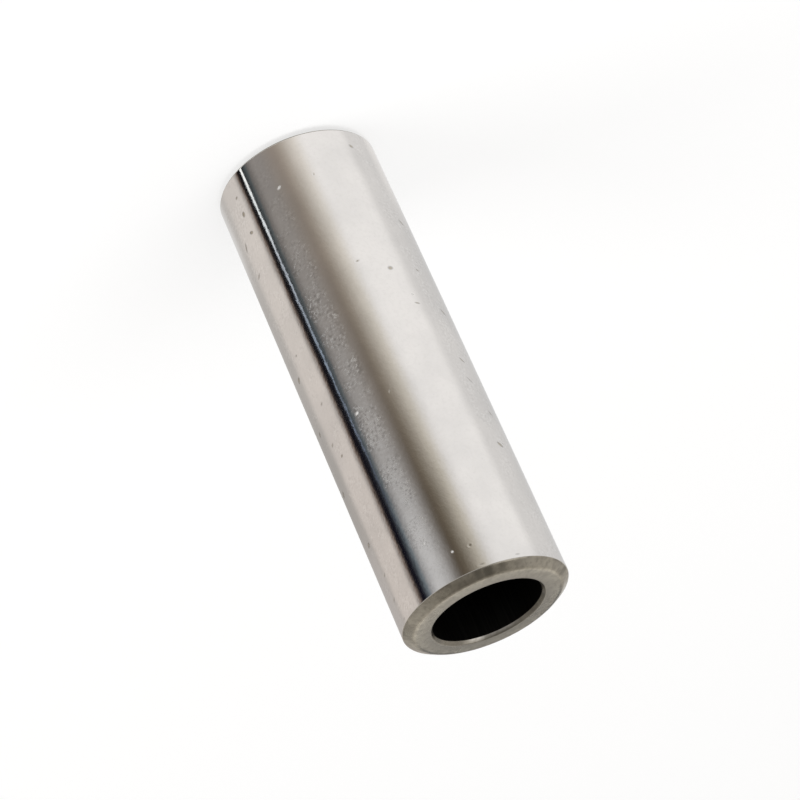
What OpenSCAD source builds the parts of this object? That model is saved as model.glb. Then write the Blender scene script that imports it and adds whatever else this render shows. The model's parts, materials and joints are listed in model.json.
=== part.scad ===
// Gudgeon pin: a hollow steel pin that hinges a piston on its connecting rod.
// It stands on one end, with its axis along +Z and its origin in the middle of the lower end face.

/* [Pin] */
// Diameter of the ground outside
outer_d = 16; // [14.5:0.25:24]
// Length over both end faces
pin_l = 50; // [20:1:90]
// Diameter of the through bore
bore_d = 10.5; // [4:0.25:11.5]

/* [Outer edges] */
// Length of the outer chamfer along the axis
chamfer_l = 0.65; // [0.4:0.05:1.5]
// Depth of the outer chamfer across the end face
chamfer_depth = 0.9; // [0.6:0.05:1.4]
// Radius that blends the outer chamfer into the end face
face_blend_r = 1; // [0.1:0.1:1.2]
// Radius that blends the outer chamfer into the ground outside
shoulder_blend_r = 0.3; // [0.1:0.1:0.8]

/* [Bore mouths] */
// Length of the bore's chamfer along the axis
mouth_l = 0.35; // [0.2:0.05:1]
// Depth of the bore's chamfer across the end face
mouth_depth = 0.25; // [0.15:0.05:0.6]
// Radius that breaks both corners of the bore's chamfer
mouth_blend_r = 0.15; // [0.05:0.05:0.3]

/* [Hidden] */
$fn = 128;

outer_r = outer_d / 2;
bore_r = bore_d / 2;

// Angle at which a blend meets the edges beside it, just enough to leave no feather edge there
blend_meet_angle = 3;
// Reach of a blend's cut from its centre, as a multiple of what it takes to pass the corner
cut_reach = 1.5;

// Direction from one point to another, as a vector of length 1
function toward(from, to) = (to - from) / norm(to - from);

// What a blend takes off the corner between two straight edges of the section
module corner_cut(before, corner, after, blend_r) {
    back = toward(corner, before);
    ahead = toward(corner, after);
    half_angle = acos(back * ahead) / 2;
    tangent_l = blend_r / tan(half_angle);
    centre = corner + toward([0, 0], back + ahead) * blend_r / sin(half_angle);
    kite = [centre, corner + back * tangent_l, corner, corner + ahead * tangent_l];
    difference() {
        polygon([for (point = kite) centre + (point - centre) * cut_reach]);
        translate(centre) circle(r = blend_r / cos(blend_meet_angle));
    }
}

// The wall's section as radius and height, from the lower end face to the middle of the length
module half_section() {
    bore_middle = [bore_r, pin_l / 2];
    bore_end = [bore_r, mouth_l];
    mouth_edge = [bore_r + mouth_depth, 0];
    face_edge = [outer_r - chamfer_depth, 0];
    shoulder = [outer_r, chamfer_l];
    outer_middle = [outer_r, pin_l / 2];
    difference() {
        polygon([bore_middle, bore_end, mouth_edge, face_edge, shoulder, outer_middle]);
        corner_cut(bore_middle, bore_end, mouth_edge, mouth_blend_r);
        corner_cut(bore_end, mouth_edge, face_edge, mouth_blend_r);
        corner_cut(mouth_edge, face_edge, shoulder, face_blend_r);
        corner_cut(face_edge, shoulder, outer_middle, shoulder_blend_r);
    }
}

// The pin, turned and ground from one bar, the same at both ends
module gudgeon_pin() {
    color([0.74, 0.72, 0.69])
        rotate_extrude() {
            half_section();
            translate([0, pin_l]) mirror([0, 1]) half_section();
        }
}

gudgeon_pin();
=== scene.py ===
import json
import math

import bmesh
import bpy
from mathutils import Euler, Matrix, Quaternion, Vector


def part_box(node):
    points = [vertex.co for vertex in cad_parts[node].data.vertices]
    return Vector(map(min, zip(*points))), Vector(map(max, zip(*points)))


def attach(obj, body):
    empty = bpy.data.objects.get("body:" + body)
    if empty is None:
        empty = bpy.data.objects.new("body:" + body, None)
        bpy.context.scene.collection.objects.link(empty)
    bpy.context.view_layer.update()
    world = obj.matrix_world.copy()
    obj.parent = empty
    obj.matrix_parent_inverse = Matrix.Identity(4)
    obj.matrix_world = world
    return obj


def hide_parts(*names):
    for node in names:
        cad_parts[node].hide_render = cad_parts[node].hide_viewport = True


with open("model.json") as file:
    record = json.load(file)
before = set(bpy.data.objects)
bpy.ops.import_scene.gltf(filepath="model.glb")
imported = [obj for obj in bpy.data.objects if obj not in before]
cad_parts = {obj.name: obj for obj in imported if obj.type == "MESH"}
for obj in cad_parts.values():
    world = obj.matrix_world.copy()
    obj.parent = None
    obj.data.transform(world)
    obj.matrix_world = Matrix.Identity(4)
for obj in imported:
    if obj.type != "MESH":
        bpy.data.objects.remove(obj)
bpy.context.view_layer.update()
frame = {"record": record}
mm = 0.001

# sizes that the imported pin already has
footCorner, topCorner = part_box("gudgeon_pin")
mounts = {mount["name"]: mount["dims"] for mount in frame["record"]["mounts"]}
outerRadius = mounts["outside"]["r_mm"] * mm
boreRadius = mounts["bore"]["r_mm"] * mm
pinLength = topCorner.z - footCorner.z
print("frame loaded: pin of", round(2 * outerRadius / mm, 2), "by", round(pinLength / mm, 2), "mm")


# node helpers
def addNode(tree, kind, inputs=None, **settings):
    node = tree.nodes.new(kind)
    for key, value in settings.items():
        setattr(node, key, value)
    for key, value in (inputs or {}).items():
        if isinstance(value, bpy.types.NodeSocket):
            tree.links.new(value, node.inputs[key])
        else:
            node.inputs[key].default_value = value
    return node


def maths(tree, operation, first, second):
    return addNode(tree, "ShaderNodeMath", {0: first, 1: second}, operation=operation).outputs[0]


def remap(tree, value, span, shares=(0.0, 1.0)):
    inputs = {0: value, 1: span[0], 2: span[1], 3: shares[0], 4: shares[1]}
    return addNode(tree, "ShaderNodeMapRange", inputs).outputs[0]


def blendColour(tree, share, under, over):
    return addNode(tree, "ShaderNodeMix", {0: share, 6: under, 7: over}, data_type="RGBA").outputs[2]


def blendValue(tree, share, under, over):
    return addNode(tree, "ShaderNodeMix", {0: share, 2: under, 3: over}, data_type="FLOAT").outputs[0]


def noise(tree, place, scale, detail=2.0):
    if isinstance(scale, tuple):  # three scales stretch the noise
        place = addNode(tree, "ShaderNodeMapping", {"Vector": place, "Scale": scale}).outputs[0]
        scale = 1.0
    return addNode(tree, "ShaderNodeTexNoise", {"Vector": place, "Scale": scale, "Detail": detail}).outputs[0]


def attribute(tree, name, output="Fac"):
    return addNode(tree, "ShaderNodeAttribute", attribute_name=name).outputs[output]


def objectPlace(tree):
    return addNode(tree, "ShaderNodeTexCoord").outputs["Object"]


def newMaterial(name):
    material = bpy.data.materials.new(name)
    material.use_nodes = True
    material.node_tree.nodes.clear()
    return material, material.node_tree


def showSurface(tree, kind, inputs):
    shader = addNode(tree, kind, inputs)
    addNode(tree, "ShaderNodeOutputMaterial", {"Surface": shader.outputs[0]})


def newObject(name, bm, *materials):
    mesh = bpy.data.meshes.new(name)
    bm.to_mesh(mesh)
    bm.free()
    for material in materials:
        mesh.materials.append(material)
    item = bpy.data.objects.new(name, mesh)
    bpy.context.scene.collection.objects.link(item)
    return item


# grain of worked steel, shared by the three finishes; its scales are waves in a metre
grainSizes = {
    "patches": 520.0,  # where specks and pits crowd together
    "patchSpan": (0.42, 0.58),
    "patchShares": (0.2, 1.25),
    "speckles": (3400.0, 3400.0, 4200.0),
    "speckleLean": 0.7,
    "speckSpan": (0.53, 0.64),
    "pitSpan": (0.46, 0.36),
    "peel": 2700.0,
    "lines": (60.0, 60.0, 9000.0),
    "waves": (420.0, 420.0, 260.0),
    "cloud": 190.0,
}


def makeSteelGrain():
    group = bpy.data.node_groups.new("steelGrain", "ShaderNodeTree")
    group.interface.new_socket("Vector", in_out="INPUT", socket_type="NodeSocketVector")
    for name in ("Specks", "Pits", "Peel", "Lines", "Waves", "Cloud"):
        group.interface.new_socket(name, in_out="OUTPUT", socket_type="NodeSocketFloat")
    place = group.nodes.new("NodeGroupInput").outputs["Vector"]
    out = group.nodes.new("NodeGroupOutput").inputs
    patches = noise(group, place, grainSizes["patches"])
    patches = remap(group, patches, grainSizes["patchSpan"], grainSizes["patchShares"])
    slant = {"Vector": place, "Angle": grainSizes["speckleLean"]}
    leaning = addNode(group, "ShaderNodeVectorRotate", slant, rotation_type="Y_AXIS").outputs[0]
    speckles = noise(group, leaning, grainSizes["speckles"])
    for name, span in (("Specks", "speckSpan"), ("Pits", "pitSpan")):
        spots = remap(group, speckles, grainSizes[span])
        group.links.new(maths(group, "MULTIPLY", spots, patches), out[name])
    group.links.new(noise(group, place, grainSizes["peel"]), out["Peel"])
    group.links.new(noise(group, place, grainSizes["lines"], detail=1.0), out["Lines"])
    group.links.new(noise(group, place, grainSizes["waves"]), out["Waves"])
    group.links.new(noise(group, place, grainSizes["cloud"], detail=3.0), out["Cloud"])
    return group


steelGrain = makeSteelGrain()
cloudSpan = (0.3, 0.7)  # stretch of the cloud that takes a finish from its lower roughness to its higher one


def useGrain(tree, place):
    return addNode(tree, "ShaderNodeGroup", {"Vector": place}, node_tree=steelGrain).outputs


# ground outside: nearly a mirror, with frosted patches, dirty nicks and painted glints
groundFinish = {
    "colour": (0.803, 0.774, 0.747, 1.0),
    "dullColour": (0.732, 0.709, 0.687, 1.0),
    "dullSpan": (0.38, 0.66),
    "fleckColour": (0.69, 0.665, 0.64, 1.0),
    "fleckSpan": (0.46, 0.74),
    "fleckShares": (0.0, 0.3),
    "frostAndGlintColour": (0.95, 0.94, 0.92, 1.0),
    "frostRoughness": 0.5,
    "nickColour": (0.12, 0.108, 0.098, 1.0),
    "nickRoughness": 0.5,
    "pitShare": 0.24,
    "edgeTint": (0.84, 0.84, 0.84, 1.0),
    "roughness": (0.065, 0.10),
    "waveDepth": 0.016 * mm,
    "peelDepth": 0.005 * mm,
    "lineDepth": 0.0012 * mm,
}


def groundSteel():
    material, tree = newMaterial("ground steel")
    grain = useGrain(tree, objectPlace(tree))
    nick, glint, frost = (attribute(tree, name) for name in ("nick", "glint", "frost"))
    pits = maths(tree, "MULTIPLY", maths(tree, "MULTIPLY", frost, grain["Pits"]), groundFinish["pitShare"])
    # bright carries the frost specks and the painted glints, pale unmetallic specks that stand in for
    # highlights
    bright = maths(tree, "MAXIMUM", maths(tree, "MULTIPLY", frost, grain["Specks"]), glint)
    coats = {
        "dullColour": remap(tree, grain["Cloud"], groundFinish["dullSpan"]),
        "fleckColour": remap(tree, grain["Peel"], groundFinish["fleckSpan"], groundFinish["fleckShares"]),
        "frostAndGlintColour": bright,
        "nickColour": maths(tree, "MAXIMUM", nick, pits),
    }
    colour = groundFinish["colour"]
    for over, share in coats.items():
        colour = blendColour(tree, share, colour, groundFinish[over])
    roughness = remap(tree, grain["Cloud"], cloudSpan, groundFinish["roughness"])
    roughness = blendValue(tree, bright, roughness, groundFinish["frostRoughness"])
    roughness = blendValue(tree, nick, roughness, groundFinish["nickRoughness"])
    normal = None
    for depth, height in (("waveDepth", "Waves"), ("peelDepth", "Peel"), ("lineDepth", "Lines")):
        bump = {"Distance": groundFinish[depth], "Height": grain[height]}
        if normal:
            bump["Normal"] = normal
        normal = addNode(tree, "ShaderNodeBump", bump).outputs[0]
    steel = {
        "Base Color": colour,
        "Metallic": maths(tree, "SUBTRACT", 1.0, glint),
        "Roughness": roughness,
        "Specular Tint": groundFinish["edgeTint"],
        "Normal": normal,
    }
    showSurface(tree, "ShaderNodeBsdfPrincipled", steel)
    return material


# turned ends: duller, with rings left by the tool, darker towards the bore
turnedFinish = {
    "colour": (0.54, 0.495, 0.41, 1.0),
    "darkColour": (0.41, 0.37, 0.305, 1.0),
    "blotches": 1000.0,
    "blotchSpan": (0.44, 0.66),
    "innerColour": (0.38, 0.35, 0.30, 1.0),
    "innerRadii": (5.5 * mm, 7.0 * mm),
    "innerShares": (0.9, 0.0),
    "paintedHighlightColour": (0.76, 0.72, 0.66, 1.0),
    "grimeAndShadeColour": (0.17, 0.155, 0.13, 1.0),
    "fleckColour": (0.27, 0.245, 0.20, 1.0),
    "fleckSpan": (0.44, 0.68),
    "fleckShares": (0.0, 0.4),
    "roughness": (0.24, 0.34),
    "rings": 9000.0,
    "ringDepth": 0.004 * mm,
}


def turnedSteel():
    material, tree = newMaterial("turned steel")
    place = objectPlace(tree)
    grain = useGrain(tree, place)
    levelled = {0: place, 1: (1.0, 1.0, 0.0)}
    flat = addNode(tree, "ShaderNodeVectorMath", levelled, operation="MULTIPLY").outputs[0]
    radius = addNode(tree, "ShaderNodeVectorMath", {0: flat}, operation="LENGTH").outputs["Value"]
    blotches = noise(tree, place, turnedFinish["blotches"], detail=5.0)
    coats = {
        "darkColour": remap(tree, blotches, turnedFinish["blotchSpan"]),
        "innerColour": remap(tree, radius, turnedFinish["innerRadii"], turnedFinish["innerShares"]),
        # rub paints a highlight on a stretch of the mouth and on two wide stretches of the chamfer
        "paintedHighlightColour": attribute(tree, "paintedHighlight"),
        # grime paints shade on a stretch of the mouth and dirt in small spots on the chamfer
        "grimeAndShadeColour": attribute(tree, "grimeAndShade"),
        "fleckColour": remap(tree, grain["Peel"], turnedFinish["fleckSpan"], turnedFinish["fleckShares"]),
    }
    colour = turnedFinish["colour"]
    for over, share in coats.items():
        colour = blendColour(tree, share, colour, turnedFinish[over])
    turning = {"W": radius, "Scale": turnedFinish["rings"], "Detail": 2.0}
    rings = addNode(tree, "ShaderNodeTexNoise", turning, noise_dimensions="1D").outputs[0]
    bump = addNode(tree, "ShaderNodeBump", {"Distance": turnedFinish["ringDepth"], "Height": rings})
    steel = {
        "Base Color": colour,
        "Metallic": 1.0,
        "Roughness": remap(tree, grain["Cloud"], cloudSpan, turnedFinish["roughness"]),
        "Normal": bump.outputs[0],
    }
    showSurface(tree, "ShaderNodeBsdfPrincipled", steel)
    return material


# bore: painted near black for the shade down the hole, with drawing lines along its length
boreShadeAndFinish = {
    # colour and paleColour are painted shade, near black for the dark down the hole
    "colour": (0.02, 0.019, 0.018, 1.0),
    "paleColour": (0.034, 0.032, 0.03, 1.0),
    "drawing": (5000.0, 5000.0, 90.0),
    "drawingSpan": (0.4, 0.65),
    "roughness": (0.42, 0.55),
}


def boreSteel():
    material, tree = newMaterial("bore steel")
    place = objectPlace(tree)
    grain = useGrain(tree, place)
    drawn = remap(tree, noise(tree, place, boreShadeAndFinish["drawing"]), boreShadeAndFinish["drawingSpan"])
    steel = {
        "Base Color": blendColour(tree, drawn, boreShadeAndFinish["colour"], boreShadeAndFinish["paleColour"]),
        "Metallic": 1.0,
        "Roughness": remap(tree, grain["Cloud"], cloudSpan, boreShadeAndFinish["roughness"]),
    }
    showSurface(tree, "ShaderNodeBsdfPrincipled", steel)
    return material


# the pin, turned from its section
pin = {
    "facesRound": 256,
    "wallRows": 48,
    "nickRows": 16,  # into which a face of the wall is cut at a nick
    "nickColumns": 4,
    "chamferLength": 0.65 * mm,
    "chamferDepth": 0.9 * mm,
    "mouthLength": 0.35 * mm,
    "mouthDepth": 0.25 * mm,
    "faceBlend": 0.27 * mm,  # how far each blend reaches from its corner
    "shoulderBlend": 0.138 * mm,
    "mouthBlend": 0.05 * mm,
    "blendFaces": 8,
    "crown": 0.035 * mm,  # drop of each end face towards its outer edge
    "groundEdge": 0.012 * mm,  # how far the grinding runs on over the shoulder
    "boreEdge": 0.02 * mm,  # how far the bore's finish runs on over its mouth
    "holdLoop": 0.07 * mm,  # loops that keep the shading of a band true up to its blends
    "broadFace": 0.04 * mm * mm,  # faces above this area get hold loops
    "smallFace": 0.05 * mm * mm,  # faces of the wall below this area lie at a nick
    "near": 0.01 * mm,  # points this close to a radius or height are on it
    "tiny": 0.001 * mm,  # no more than rounding
}

# patches of the outside that rubbing has frosted: angles round from the camera's side, heights, and how much
frostPatches = [
    {"angles": (8, 15, 27, 31), "heights": (-4, 22, 39, 52), "share": 1.15},
    {"angles": (38, 48, 88, 98), "heights": (-6, 2, 48, 56), "share": 0.28},
    {"angles": (-98, -84, -58, -46), "heights": (-6, 2, 48, 56), "share": 0.26},
]

# nicks of the outside: angle round from the camera's side, height, half length, half width, tilt, depth
# and dirt; a dirt below nothing is a painted glint, a pale unmetallic speck
nickMarks = [
    (47.5, 2.8, 0.24, 0.17, 20, 0.02, 0.64),
    (47.5, 4.8, 0.36, 0.25, 80, 0.03, 1.0),
    (47.5, 7.0, 0.34, 0.20, -30, 0.025, 1.0),
    (60.5, 7.4, 0.65, 0.20, 65, 0.015, 0.64),
    (60.0, 10.9, 0.48, 0.20, 20, 0.015, 0.52),
    (56.0, 20.6, 0.22, 0.15, 0, 0.015, 0.56),
    (66.5, 22.4, 0.40, 0.32, 30, 0.025, 1.0),
    (51.0, 26.6, 0.27, 0.18, 30, 0.015, 0.4),
    (70.5, 28.2, 0.34, 0.26, 30, 0.02, 0.8),
    (58.5, 30.5, 0.34, 0.20, 20, 0.015, 0.4),
    (53.0, 32.2, 0.26, 0.17, 20, 0.02, 0.52),
    (75.0, 34.5, 0.45, 0.32, 20, 0.02, 0.95),
    (67.5, 40.6, 0.38, 0.27, 10, 0.02, 0.85),
    (63.0, 44.2, 0.28, 0.19, 20, 0.015, 0.4),
    (64.5, 46.7, 0.32, 0.20, 30, 0.015, 0.4),
    (-49.0, 2.6, 0.34, 0.24, -35, 0.02, 0.5),
    (-12.0, 5.4, 0.20, 0.12, 80, 0.015, 0.22),
    (-67.0, 11.3, 0.55, 0.20, -40, 0.015, 0.48),
    (-15.0, 15.9, 0.26, 0.12, 15, 0.02, 0.38),
    (-35.2, 17.3, 0.36, 0.27, 10, 0.02, 0.64),
    (-59.0, 17.3, 0.28, 0.11, -20, 0.02, 0.6),
    (-44.0, 21.4, 0.38, 0.11, -8, 0.02, 0.6),
    (-68.0, 21.9, 0.60, 0.22, -40, 0.015, 0.48),
    (-63.0, 27.6, 0.48, 0.13, -35, 0.02, 0.76),
    (-61.0, 29.9, 0.55, 0.10, -40, 0.015, 0.48),
    (-69.0, 33.4, 0.42, 0.20, -45, 0.015, 0.44),
    (-62.0, 37.1, 0.48, 0.22, -32, 0.03, 1.0),
    (-6.0, 46.9, 0.20, 0.17, 0, 0.02, 0.28),
    (-33.0, 48.95, 0.30, 0.12, 0, 0.012, 0.32),
    (-8.0, 49.0, 0.35, 0.12, 0, 0.012, 0.32),
    (62.0, 48.9, 0.30, 0.12, 0, 0.012, 0.28),
    (13.0, 5.2, 0.32, 0.19, 40, 0.006, -1.0),
    (26.5, 30.1, 0.28, 0.20, 20, 0.006, -1.0),
    (0.5, 29.8, 0.22, 0.12, 60, 0.005, -0.28),
    (5.5, 46.8, 0.17, 0.15, 0, 0.006, -1.0),
    (20.0, 44.8, 0.18, 0.12, 60, 0.005, -0.8),
    (-43.5, 20.4, 0.22, 0.12, -20, 0.01, -0.7),
    (-65.5, 36.8, 0.40, 0.10, -32, 0.01, -0.6),
]

# the rim that a nick throws up, in shares of its reach and depth, and how steeply its dirt thickens inwards
nickRim = {"middle": 1.3, "half": 0.3, "end": 1.6, "height": 0.2, "stain": 1.6}
nickRoom = 0.1  # millimetres round a nick that get the finer mesh too

# stretches of the upper end painted lighter or darker: a painted highlight and painted shade on the mouth,
# painted highlight and dirty spots on the chamfer; angles round from the camera's side, radii, and how much
endMarks = [
    # the first is a painted highlight on the mouth, the next two a painted highlight on the chamfer
    {"kind": "paintedHighlight", "angles": (146, 160, 194, 207), "radii": (5.2, 5.21, 5.35, 5.45), "share": 1.0},
    {"kind": "paintedHighlight", "angles": (255, 275, 320, 340), "radii": (7.1, 7.35, 7.9, 8.0), "share": 0.24},
    {"kind": "paintedHighlight", "angles": (28, 42, 90, 110), "radii": (7.1, 7.35, 7.9, 8.0), "share": 0.14},
    # the first is painted shade on the mouth; the rest are dirt on the chamfer
    {"kind": "grimeAndShade", "angles": (206, 228, 248, 264), "radii": (5.2, 5.21, 5.41, 5.57), "share": 1.0},
    {"kind": "grimeAndShade", "angles": (344, 348, 351, 354), "radii": (7.1, 7.35, 7.9, 8.0), "share": 0.7},
    {"kind": "grimeAndShade", "angles": (352, 355, 357, 360), "radii": (7.1, 7.35, 7.9, 8.0), "share": 0.5},
    {"kind": "grimeAndShade", "angles": (335, 338, 340, 343), "radii": (7.1, 7.35, 7.9, 8.0), "share": 0.4},
    {"kind": "grimeAndShade", "angles": (272, 275, 278, 281), "radii": (7.1, 7.35, 7.9, 8.0), "share": 0.5},
]


def pinSection():
    lowerHalf = [
        (outerRadius, pin["chamferLength"], pin["shoulderBlend"]),
        (outerRadius - pin["chamferDepth"], pin["crown"], pin["faceBlend"]),
        (boreRadius + pin["mouthDepth"], 0.0, pin["mouthBlend"]),
        (boreRadius, pin["mouthLength"], pin["mouthBlend"]),
    ]
    return lowerHalf + [(radius, pinLength - height, reach) for radius, height, reach in reversed(lowerHalf)]


def atRadius(vert, radius):
    return abs(vert.co.xy.length - radius) < pin["near"]


def atHeight(vert, height):
    return abs(vert.co.z - height) < pin["near"]


def turnPin(bm):
    section = pinSection()
    verts = [bm.verts.new((radius, 0.0, height)) for radius, height, reach in section]
    edges = [bm.edges.new((verts[i - 1], verts[i])) for i in range(len(verts))]
    bmesh.ops.spin(
        bm,
        geom=verts + edges,
        cent=(0, 0, 0),
        axis=(0, 0, 1),
        angle=2 * math.pi,
        steps=pin["facesRound"],
        use_merge=True,
    )
    bmesh.ops.remove_doubles(bm, verts=bm.verts, dist=pin["tiny"])
    bmesh.ops.recalc_face_normals(bm, faces=bm.faces)
    for radius, height, reach in section:
        ring = [e for e in bm.edges if all(atRadius(v, radius) and atHeight(v, height) for v in e.verts)]
        bmesh.ops.bevel(
            bm,
            geom=ring,
            offset=reach,
            offset_type="OFFSET",
            segments=pin["blendFaces"],
            profile=0.5,
            affect="EDGES",
            material=-1,
        )


def easeIn(value):
    value = min(1.0, max(0.0, value))
    return value * value * (3 - 2 * value)


def window(value, start, full, fading, end):
    return easeIn((value - start) / (full - start)) * easeIn((end - value) / (end - fading))


def turnOf(place):
    return math.atan2(place.x, -place.y)  # angle round from the camera's side


def onWall(part):
    return all(atRadius(v, outerRadius) for v in part.verts)


def rise(edge):
    return abs(edge.verts[0].co.z - edge.verts[1].co.z)


def uprightWallEdges(faces):
    edges = dict.fromkeys(edge for face in faces for edge in face.edges if onWall(edge))
    return [edge for edge in edges if rise(edge) > edge.calc_length() / 2]


def nickOffset(place, nick):
    angle, height, halfLength, halfWidth, tilt = nick[:5]
    across = math.remainder(turnOf(place) - math.radians(angle), 2 * math.pi) * outerRadius / mm
    above = place.z / mm - height
    lean = math.radians(tilt)
    along = (across * math.cos(lean) + above * math.sin(lean)) / halfLength
    beside = (above * math.cos(lean) - across * math.sin(lean)) / halfWidth
    return across, above, math.hypot(along, beside)


def nearNick(face):
    middle = face.calc_center_median()
    tall = max(v.co.z for v in face.verts) - min(v.co.z for v in face.verts)
    for nick in nickMarks:
        across, above = nickOffset(middle, nick)[:2]
        halfLength = nick[2]
        room = halfLength * nickRim["end"] + nickRoom
        if abs(across) < room and abs(above) < room + tall / mm / 2:
            return True
    return False


def fineWall(bm):
    longEdges = [e for e in uprightWallEdges(bm.faces) if e.calc_length() > pinLength / 2]
    bmesh.ops.subdivide_edges(bm, edges=longEdges, cuts=pin["wallRows"] - 1, use_grid_fill=True)
    marked = [face for face in bm.faces if onWall(face) and nearNick(face)]
    upright = uprightWallEdges(marked)
    bmesh.ops.subdivide_edges(bm, edges=upright, cuts=pin["nickRows"] - 1, use_grid_fill=True)
    small = [f for f in bm.faces if f.calc_area() < pin["smallFace"] and onWall(f) and nearNick(f)]
    level = dict.fromkeys(edge for face in small for edge in face.edges if rise(edge) < pin["tiny"])
    bmesh.ops.subdivide_edges(bm, edges=list(level), cuts=pin["nickColumns"] - 1, use_grid_fill=True)


def frostAt(place):
    angle = math.degrees(turnOf(place))
    height = place.z / mm
    return max(
        patch["share"] * window(angle, *patch["angles"]) * window(height, *patch["heights"])
        for patch in frostPatches
    )


def dentWall(bm):
    nickLayer = bm.verts.layers.float.new("nick")
    glintLayer = bm.verts.layers.float.new("glint")
    frostLayer = bm.verts.layers.float.new("frost")
    for vert in bm.verts:
        if not atRadius(vert, outerRadius):
            continue
        radius = outerRadius
        vert[frostLayer] = frostAt(vert.co)
        for nick in nickMarks:
            share = nickOffset(vert.co, nick)[2]
            depth, dirt = nick[5] * mm, nick[6]
            if share < 1:
                radius -= depth * (1 - share * share) ** 2
                stain = min(1.0, nickRim["stain"] * (1 - share))
                vert[nickLayer] = max(vert[nickLayer], dirt * stain)
                vert[glintLayer] = max(vert[glintLayer], -dirt * stain)
            elif share < nickRim["end"]:
                fromMiddle = (share - nickRim["middle"]) / nickRim["half"]
                radius += nickRim["height"] * depth * (1 - fromMiddle ** 2) ** 2
        vert.co.xy = vert.co.xy.normalized() * radius


def markEnd(bm):
    layers = {kind: bm.verts.layers.float.new(kind) for kind in ("paintedHighlight", "grimeAndShade")}
    for vert in bm.verts:
        if vert.co.z < pinLength - pin["chamferLength"]:
            continue
        angle = math.degrees(turnOf(vert.co)) % 360
        radius = vert.co.xy.length / mm
        for mark in endMarks:
            layer = layers[mark["kind"]]
            cover = mark["share"] * window(angle, *mark["angles"]) * window(radius, *mark["radii"])
            vert[layer] = max(vert[layer], cover)


def makePin():
    bm = bmesh.new()
    turnPin(bm)
    broad = [face for face in bm.faces if face.calc_area() > pin["broadFace"]]
    loop = pin["holdLoop"]
    bmesh.ops.inset_region(bm, faces=broad, thickness=loop, use_boundary=True, use_even_offset=True)
    fineWall(bm)
    dentWall(bm)
    markEnd(bm)
    bmesh.ops.recalc_face_normals(bm, faces=bm.faces)
    for face in bm.faces:
        face.smooth = True
        radius = face.calc_center_median().xy.length
        if radius > outerRadius - pin["groundEdge"]:
            face.material_index = 0
        elif radius < boreRadius + pin["boreEdge"]:
            face.material_index = 2
        else:
            face.material_index = 1
    return newObject("gudgeonPin", bm, groundSteel(), turnedSteel(), boreSteel())


gudgeonPin = makePin()
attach(gudgeonPin, "root")
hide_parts("gudgeon_pin")
print("pin turned:", len(gudgeonPin.data.polygons), "faces")

# camera of the photograph: it looks down on the pin and is rolled until the upper end points down and right
view = {
    "away": 241.58 * mm,
    "height": 154.49 * mm,
    "aimAcross": -0.475 * mm,
    "aimHeight": 26.839 * mm,
    "roll": 155.99,
    "lens": 132.78,
    "sensor": 36.0,
    "clipStart": 10 * mm,
}


def makeCamera():
    data = bpy.data.cameras.new("photoCamera")
    data.lens = view["lens"]
    data.sensor_width = view["sensor"]
    data.clip_start = view["clipStart"]
    camera = bpy.data.objects.new("photoCamera", data)
    bpy.context.scene.collection.objects.link(camera)
    camera.location = (0.0, -view["away"], view["height"])
    aim = Vector((view["aimAcross"], 0.0, view["aimHeight"]))
    camera.rotation_mode = "QUATERNION"
    level = (aim - camera.location).to_track_quat("-Z", "Y")
    camera.rotation_quaternion = level @ Quaternion((0, 0, 1), math.radians(view["roll"]))
    bpy.context.scene.camera = camera


makeCamera()
print("camera set")

# pale floor: its own light is only for what the lens and the steel see, its shade is real
floor = {"size": 3.0, "colour": (0.3, 0.3, 0.3, 1.0), "glow": 0.7}


def makeFloor():
    material, tree = newMaterial("pale floor")
    rays = addNode(tree, "ShaderNodeLightPath").outputs
    seen = maths(tree, "MAXIMUM", rays["Is Camera Ray"], rays["Is Glossy Ray"])
    seen = maths(tree, "MAXIMUM", seen, rays["Is Transmission Ray"])
    paint = addNode(tree, "ShaderNodeBsdfDiffuse", {"Color": floor["colour"]})
    glow = addNode(tree, "ShaderNodeEmission", {"Strength": maths(tree, "MULTIPLY", seen, floor["glow"])})
    showSurface(tree, "ShaderNodeAddShader", {0: paint.outputs[0], 1: glow.outputs[0]})
    bm = bmesh.new()
    bmesh.ops.create_grid(bm, x_segments=1, y_segments=1, size=floor["size"] / 2)
    newObject("floor", bm, material)


makeFloor()

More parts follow.
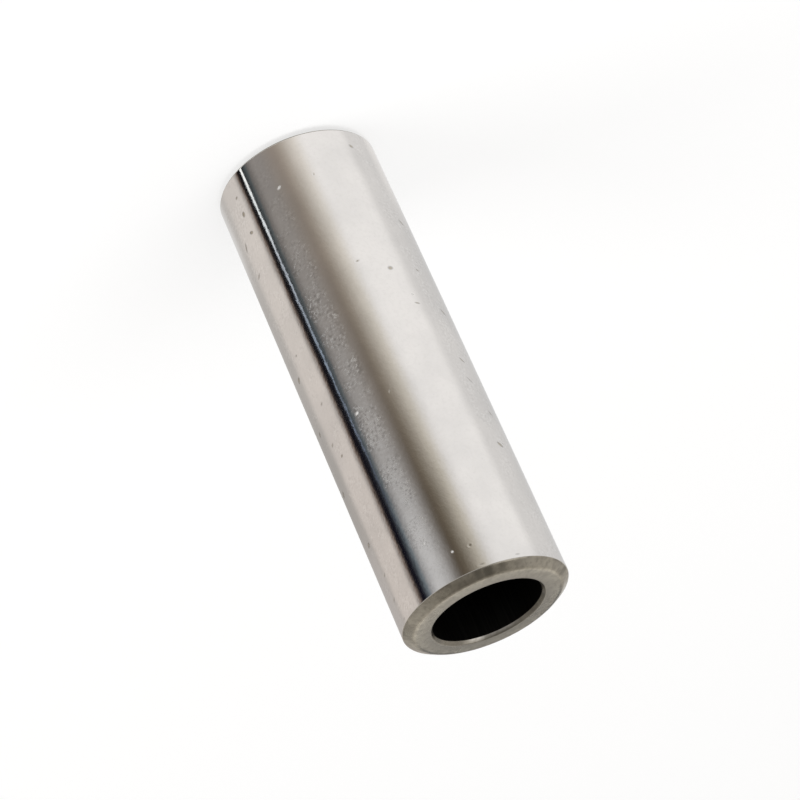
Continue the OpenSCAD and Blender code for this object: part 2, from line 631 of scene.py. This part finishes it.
# sheets of paper round the foot that only the polish mirrors; angles are on the wall, from the camera's side
# towards +X, with a soft edge before and after; tones run from the foot outwards
sheets = {
    "right grey": {
        "span": (-84, -51), "soft": (7, 10), "foot": (0.82, 0.82, 0.82), "far": (0.81, 0.81, 0.81),
    },
    "camera shade": {
        "span": (8.5, 25), "soft": (26, 1), "foot": (0.36, 0.315, 0.275), "far": (0.112, 0.094, 0.074),
        "bend": 0.7, "lead": 3.5, "widen": 2,
    },
    "warm edge": {
        "span": (-7, 1), "soft": (9, 7), "foot": (1.0, 0.98, 0.935), "far": (1.0, 0.96, 0.85), "tint": True,
    },
    "grey": {
        "span": (20, 40), "soft": (16, 1), "foot": (0.317, 0.30, 0.287), "far": (0.62, 0.625, 0.635),
        "bend": 2.5,
    },
    "beige": {
        "span": (39, 84), "soft": (1, 7), "foot": (0.78, 0.745, 0.715), "far": (0.72, 0.67, 0.635),
    },
    "left edge": {
        "span": (67, 84), "soft": (9, 6), "foot": (0.71, 0.69, 0.67), "far": (0.475, 0.452, 0.43),
        "bend": 0.7,
    },
    "left near end": {
        "span": (68, 84), "soft": (8, 6), "foot": (0.60, 0.57, 0.55), "far": (0.60, 0.57, 0.55),
        "reaches": (76, 94, 1300, 1400),
    },
    "left foot": {
        "span": (77, 84), "soft": (11, 6), "foot": (0.86, 0.85, 0.84), "far": (0.86, 0.85, 0.84),
        "reaches": (-2, -1, 8, 20),
    },
    "right foot": {
        "span": (-84, -74), "soft": (6, 11), "foot": (1.0, 0.99, 0.98), "far": (1.0, 0.99, 0.98),
        "reaches": (-2, -1, 8, 20),
    },
    "black flag": {
        "span": (35.2, 36.4), "soft": (13, 7.5), "foot": (0.008, 0.008, 0.01), "far": (0.006, 0.006, 0.012),
    },
    "brown edge": {
        "span": (36.6, 38.2), "soft": (1, 2.5), "foot": (1.2, 0.97, 0.84), "far": (1.2, 0.97, 0.82),
        "tint": True,
    },
    "teal edge": {
        "span": (30.5, 33.5), "soft": (2.5, 1), "foot": (0.85, 1.06, 1.15), "far": (0.87, 1.03, 1.12),
        "tint": True,
    },
}
paper = {
    "lift": 0.05 * mm,
    "step": 0.5,
    "rows": (0.3, 4, 8, 12, 16, 20, 30, 40, 50, 60, 70, 80, 90, 100, 1400),
    "farReach": 95.0,
    "white": (1.0, 1.0, 1.0),
    "swing": 2,  # degrees that the near camera adds to a mirrored direction
}


def mirroredPlace(angle, reach, lift):
    turn = math.radians(angle)
    lead = 2 * turn + math.radians(paper["swing"]) * math.sin(turn)
    return (
        math.sin(turn) * outerRadius + math.sin(lead) * reach * mm,
        -math.cos(turn) * outerRadius - math.cos(lead) * reach * mm,
        lift,
    )


def paperTone(angle, reach):
    tone = Vector(paper["white"])
    out = min(1.0, reach / paper["farReach"])
    for sheet in sheets.values():
        first, last = sheet["span"]
        before, after = sheet["soft"]
        first -= sheet.get("lead", 0) * out
        before += sheet.get("widen", 0) * out
        cover = window(angle, first - before, first, last, last + after)
        if "reaches" in sheet:
            cover *= window(reach, *sheet["reaches"])
        over = Vector(sheet["foot"]).lerp(Vector(sheet["far"]), out ** sheet.get("bend", 1))
        if sheet.get("tint"):
            over = Vector(under * share for under, share in zip(tone, over))
        tone = tone.lerp(over, cover)
    return tone


def onlyMirrored(item):
    item.visible_camera = False
    item.visible_diffuse = False
    item.visible_shadow = False


def glowMaterial(name, tone=None):
    material, tree = newMaterial(name)
    colour = (*tone, 1.0) if tone else attribute(tree, "tone", "Color")
    showSurface(tree, "ShaderNodeEmission", {"Color": colour})
    return material


def fanMesh(angles, rows, lift, toneAt, lean=None):
    bm = bmesh.new()
    toneLayer = bm.verts.layers.float_color.new("tone")
    columnLayer = bm.verts.layers.int.new("column")
    line = [bm.verts.new((angle * mm, 0.0, 0.0)) for angle in angles]
    for column, vert in enumerate(line):
        vert[columnLayer] = column
    edges = [bm.edges.new(pair) for pair in zip(line, line[1:])]
    for reach in rows:
        if reach != rows[0]:
            grown = bmesh.ops.extrude_edge_only(bm, edges=edges)["geom"]
            line = [item for item in grown if isinstance(item, bmesh.types.BMVert)]
            edges = [item for item in grown if isinstance(item, bmesh.types.BMEdge)]
        for vert in line:
            angle = angles[vert[columnLayer]]
            vert.co = mirroredPlace(lean(angle, reach) if lean else angle, reach, lift)
            vert[toneLayer] = (*toneAt(angle, reach), 1.0)
    return bm


def makeSheets():
    count = round(180 / paper["step"])
    angles = [-90 + i * paper["step"] for i in range(count + 1)]
    bm = fanMesh(angles, paper["rows"], paper["lift"], paperTone)
    onlyMirrored(newObject("paperSheets", bm, glowMaterial("paper sheets")))


makeSheets()

# slit of light between two sheets, brightest at the foot
slit = {
    "centre": (34.1, 32.5),
    "width": (1.75, 0.85),
    "reach": 62.0,
    "tones": {
        0.3: (1.3, 1.35, 1.35),
        9: (1.05, 1.14, 1.18),
        19: (0.62, 0.69, 0.78),
        40: (0.35, 0.43, 0.54),
        62: (0.18, 0.22, 0.30),
        78: (0.09, 0.11, 0.16),
        90: (0.02, 0.025, 0.04),
    },
}


def slitEdge(side, reach):
    out = reach / slit["reach"]
    centre = slit["centre"][0] + (slit["centre"][1] - slit["centre"][0]) * out
    width = slit["width"][0] + (slit["width"][1] - slit["width"][0]) * out
    return centre + side * width / 2


def slitTone(side, reach):
    return slit["tones"][reach]


def makeSlit():
    bm = fanMesh((-1, 1), list(slit["tones"]), 2 * paper["lift"], slitTone, slitEdge)
    onlyMirrored(newObject("lightSlit", bm, glowMaterial("light slit")))


makeSlit()

# grey ring of floor in the pin's own shade, for the lower chamfer
shade = {
    "inner": outerRadius - 1.0 * mm,
    "outer": outerRadius - 0.02 * mm,
    "lift": 0.03 * mm,
    "segments": 96,
    "tone": (0.34, 0.335, 0.33),
}


def makeShade():
    bm = bmesh.new()
    rims = []
    for radius in (shade["inner"], shade["outer"]):
        made = bmesh.ops.create_circle(bm, segments=shade["segments"], radius=radius)
        bmesh.ops.translate(bm, verts=made["verts"], vec=(0, 0, shade["lift"]))
        rims += dict.fromkeys(edge for vert in made["verts"] for edge in vert.link_edges)
    bmesh.ops.bridge_loops(bm, edges=rims)
    onlyMirrored(newObject("floorShade", bm, glowMaterial("floor shade", shade["tone"])))


makeShade()

# dark flags that the ends mirror: the middle of each, its turn, and its width and height
flags = {
    "leftFlag": {"place": (0.6, 0.74, 0.30), "turn": 90, "size": (0.5, 0.36), "tone": (0.28, 0.28, 0.28)},
    "rightFlag": {"place": (-0.6, 0.72, 0.28), "turn": 90, "size": (0.5, 0.30), "tone": (0.30, 0.30, 0.30)},
    "backFlag": {"place": (0.0, 1.0, 0.28), "turn": 0, "size": (0.42, 0.40), "tone": (0.17, 0.185, 0.21)},
}


def makeFlags():
    for name, flag in flags.items():
        bm = bmesh.new()
        bmesh.ops.create_grid(bm, x_segments=1, y_segments=1, size=0.5)
        bmesh.ops.scale(bm, verts=bm.verts, vec=(*flag["size"], 1.0))
        upright = Euler((math.pi / 2, 0.0, math.radians(flag["turn"])))
        bmesh.ops.rotate(bm, verts=bm.verts, matrix=upright.to_matrix())
        bmesh.ops.translate(bm, verts=bm.verts, vec=flag["place"])
        onlyMirrored(newObject(name, bm, glowMaterial(name, flag["tone"])))


makeFlags()

# studio: dark ceiling, paler walls, soft lamps
studio = {
    "front": (0.50, 0.485, 0.465, 1.0),
    "frontTop": (0.17, 0.165, 0.16, 1.0),
    "frontSpan": (0.3, 0.65),  # from the lower to the upper tone of the front
    "back": (0.52, 0.505, 0.48, 1.0),
    "backSpan": (-0.6, 0.6),  # from front to back
    "ceiling": (0.20, 0.19, 0.175, 1.0),
    "ceilingSpan": (0.91, 1.0),  # from wall to ceiling
    "ceilingLean": 0.25,
    "backdrop": (1.0, 1.0, 1.0, 1.0),
}
lamps = {
    "keySoftbox": {"place": (-0.62, -0.42, 0.65), "size": (0.5, 0.5), "power": 0.65, "mirrored": True},
    "backSoftbox": {"place": (0.0, 0.92, 0.62), "size": (0.8, 0.3), "power": 0.36, "mirrored": True},
    "fillSoftbox": {"place": (0.7, -0.4, 0.6), "size": (0.6, 0.6), "power": 4.5, "mirrored": False},
    "topSoftbox": {"place": (-0.2, -0.2, 1.0), "size": (0.6, 0.6), "power": 5.0, "mirrored": False},
}


def makeStudio():
    world = bpy.data.worlds.new("studio")
    bpy.context.scene.world = world
    world.use_nodes = True
    tree = world.node_tree
    tree.nodes.clear()
    rays = addNode(tree, "ShaderNodeLightPath").outputs
    towards = addNode(tree, "ShaderNodeTexCoord").outputs["Generated"]
    way = addNode(tree, "ShaderNodeSeparateXYZ", {0: towards}).outputs
    high = remap(tree, way["Z"], studio["frontSpan"])
    colour = blendColour(tree, high, studio["front"], studio["frontTop"])
    colour = blendColour(tree, remap(tree, way["Y"], studio["backSpan"]), colour, studio["back"])
    overhead = maths(tree, "ADD", way["Z"], maths(tree, "MULTIPLY", way["Y"], studio["ceilingLean"]))
    colour = blendColour(tree, remap(tree, overhead, studio["ceilingSpan"]), colour, studio["ceiling"])
    colour = blendColour(tree, rays["Is Camera Ray"], colour, studio["backdrop"])
    light = addNode(tree, "ShaderNodeBackground", {"Color": colour})
    addNode(tree, "ShaderNodeOutputWorld", {"Surface": light.outputs[0]})


def makeLamps():
    for name, lamp in lamps.items():
        data = bpy.data.lights.new(name, "AREA")
        data.shape = "RECTANGLE"
        data.size, data.size_y = lamp["size"]
        data.energy = lamp["power"]
        item = bpy.data.objects.new(name, data)
        bpy.context.scene.collection.objects.link(item)
        item.location = lamp["place"]
        item.rotation_mode = "QUATERNION"
        item.rotation_quaternion = (-Vector(lamp["place"])).to_track_quat("-Z", "Y")
        item.visible_glossy = lamp["mirrored"]


makeStudio()
makeLamps()
bpy.context.scene.view_settings.view_transform = "Standard"
print("stage set")
